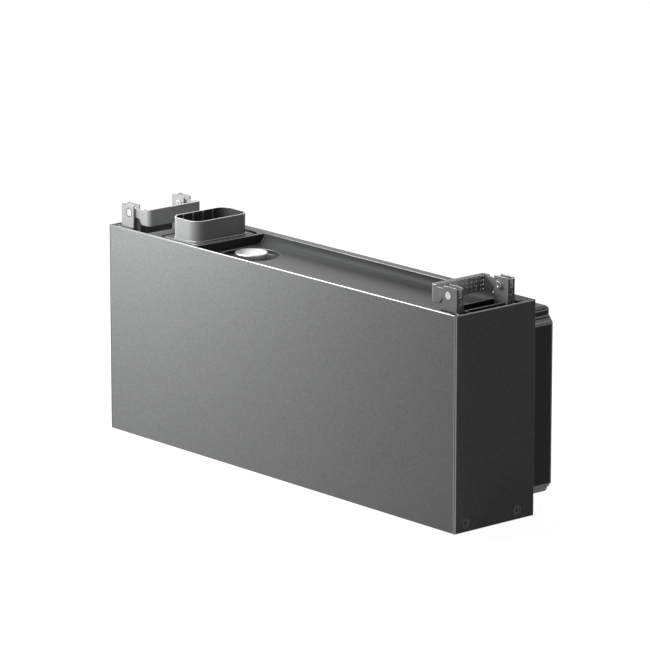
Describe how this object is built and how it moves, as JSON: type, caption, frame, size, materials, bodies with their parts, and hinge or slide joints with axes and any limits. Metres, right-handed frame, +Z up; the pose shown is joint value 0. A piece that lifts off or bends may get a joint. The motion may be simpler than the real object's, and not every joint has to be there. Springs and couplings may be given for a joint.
{
  "type": "home_battery_module",
  "caption": "Slim grey home battery module with a stacking connector, relief valve, coved trough and fold-down carrying handles on top, and a black stepped rear cover",
  "frame": {"origin": "centre of the overall box's footprint, on the floor; the case's front face is at row Y = -91.15 mm", "axes": "+X runs along the case, to the right seen from the front; +Y runs from the front panel to the rear cover; +Z is up"},
  "size_m": [0.68, 0.1824, 0.3084],
  "materials": {
    "panel": "fine-grained powder coat",
    "cast_cover": "satin coat on casting",
    "handle_metal": "satin coat on steel plate",
    "polished": "polished",
    "steel": "zinc plated",
    "aluminium": "as extruded",
    "copper": "plain copper",
    "rear_plastic": "smooth matte",
    "black_plastic": "moulded",
    "rubber": "moulded",
    "cell_sleeve": "shrink film",
    "insulation": "plain sheet",
    "board": "lacquered laminate",
    "lead_jacket": "smooth jacket"
  },
  "bodies": {
    "case": {"front_panel": "panel", "left_end_panel": "panel", "right_end_panel": "panel", "back_panel": "panel", "top_cover": "cast_cover", "bottom_tray": "black_plastic", "connector_shroud": "cast_cover", "connector_gasket": "rubber", "contact_block": "black_plastic", "power_contacts": "copper", "signal_contacts": "copper", "bottom_socket": "black_plastic", "socket_contacts": "copper", "valve_body": "steel", "valve_seal": "rubber", "valve_cap": "polished", "left_front_bracket": "handle_metal", "left_back_bracket": "handle_metal", "right_front_bracket": "handle_metal", "right_back_bracket": "handle_metal", "left_front_pin": "polished", "left_back_pin": "polished", "right_front_pin": "polished", "right_back_pin": "polished", "hinge_washers": "black_plastic", "bracket_screws": "steel", "rear_cover": "rear_plastic", "rear_seal": "rubber", "rear_cover_screws": "steel", "end_screws": "steel", "bracket_nuts": "steel", "pack_base": "steel", "cells": "cell_sleeve", "cell_spacers": "insulation", "left_clamp_plate": "aluminium", "right_clamp_plate": "aluminium", "clamp_bands": "steel", "terminal_carrier": "black_plastic", "terminal_posts": "aluminium", "busbars": "copper", "power_board": "board", "board_standoffs": "steel", "heat_sink": "aluminium", "relays": "black_plastic", "main_fuse": "insulation", "capacitors": "cell_sleeve", "lead_terminals": "copper", "connector_leads": "lead_jacket", "socket_leads": "lead_jacket", "pack_leads": "lead_jacket"},
    "left_handle": {"left_handle": "handle_metal", "left_grip": "rubber"},
    "right_handle": {"right_handle": "handle_metal", "right_grip": "rubber"}
  },
  "joints": [
    {"name": "left_handle_hinge", "type": "hinge", "parent": "case", "child": "left_handle", "pos_m": [-0.3117, -0.03015, 0.2972], "axis": [0, -1, 0], "range_deg": [0, 90]},
    {"name": "right_handle_hinge", "type": "hinge", "parent": "case", "child": "right_handle", "pos_m": [0.3117, -0.03015, 0.2972], "axis": [0, 1, 0], "range_deg": [0, 90]}
  ]
}
